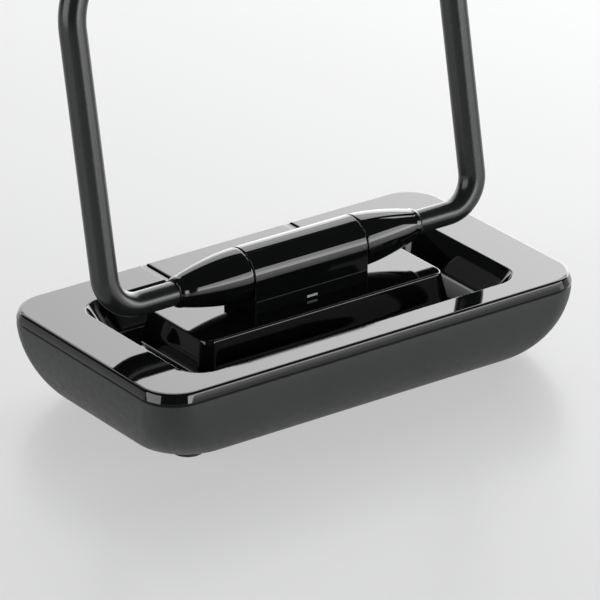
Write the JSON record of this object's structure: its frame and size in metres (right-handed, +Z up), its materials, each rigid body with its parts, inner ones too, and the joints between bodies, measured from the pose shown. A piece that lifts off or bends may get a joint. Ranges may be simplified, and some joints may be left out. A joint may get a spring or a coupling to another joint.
{
  "type": "indoor loop antenna",
  "caption": "Indoor television antenna: a square tubular loop tilts on a hinge barrel above a weighted gloss-topped base with a rear output socket.",
  "frame": {"origin": "middle of the base in the plane of the feet", "axes": "+X along the base's long side and the hinge axis, front is -Y, +Z up"},
  "size_m": [0.202, 0.111, 0.1926],
  "materials": {
    "gloss_black": "deep gloss black moulded ABS, lightly polished",
    "case_grey": "satin dark grey moulded plastic with a fine spark texture",
    "tube_black": "satin black anodised tube",
    "foot_rubber": "soft black rubber",
    "screw_steel": "zinc plated steel",
    "ballast_steel": "mill-finish steel plate",
    "spring_steel": "spring steel",
    "nickel_plate": "nickel plated brass",
    "contact_brass": "bright brass",
    "tin_plate": "tinned steel",
    "board_green": "green solder mask over glass laminate",
    "chip_black": "moulded epoxy",
    "ferrite_grey": "sintered ferrite",
    "capacitor_sleeve": "sleeved aluminium can",
    "socket_black": "black engineering plastic",
    "insulator_white": "natural PTFE",
    "bush_plastic": "natural acetal",
    "lamp_clear": "clear epoxy lamp",
    "light_pipe_clear": "smoked clear acrylic",
    "lead_sleeve": "flexible red insulation"
  },
  "bodies": {
    "base": {"lower_case": "case_grey", "top_cover": "gloss_black", "rear_panel": "gloss_black", "hinge_housing": "gloss_black", "rubber_feet": "foot_rubber", "case_screws": "screw_steel", "ballast_plate": "ballast_steel", "ballast_screws": "screw_steel", "circuit_board": "board_green", "board_screws": "screw_steel", "shield_can": "tin_plate", "amplifier_chip": "chip_black", "balun_core": "ferrite_grey", "filter_capacitor": "capacitor_sleeve", "voltage_regulator": "chip_black", "antenna_socket": "nickel_plate", "socket_insulator": "insulator_white", "socket_contact": "contact_brass", "power_jack": "socket_black", "power_jack_pin": "nickel_plate", "indicator_lamp": "lamp_clear", "light_pipe": "light_pipe_clear", "housing_screws": "screw_steel", "left_bush": "bush_plastic", "right_bush": "bush_plastic", "left_lead": "lead_sleeve", "right_lead": "lead_sleeve"},
    "loop": {"loop_tube": "tube_black", "left_collar": "gloss_black", "right_collar": "gloss_black", "left_contact_plug": "contact_brass", "right_contact_plug": "contact_brass", "collar_grub_screws": "screw_steel", "friction_washers": "spring_steel", "retaining_clips": "spring_steel", "stop_ring": "spring_steel"}
  },
  "joints": [
    {"name": "loop_tilt", "type": "hinge", "parent": "base", "child": "loop", "pos_m": [0, 0, 0.0498], "axis": [1, 0, 0], "range_deg": [-79, 101]}
  ]
}
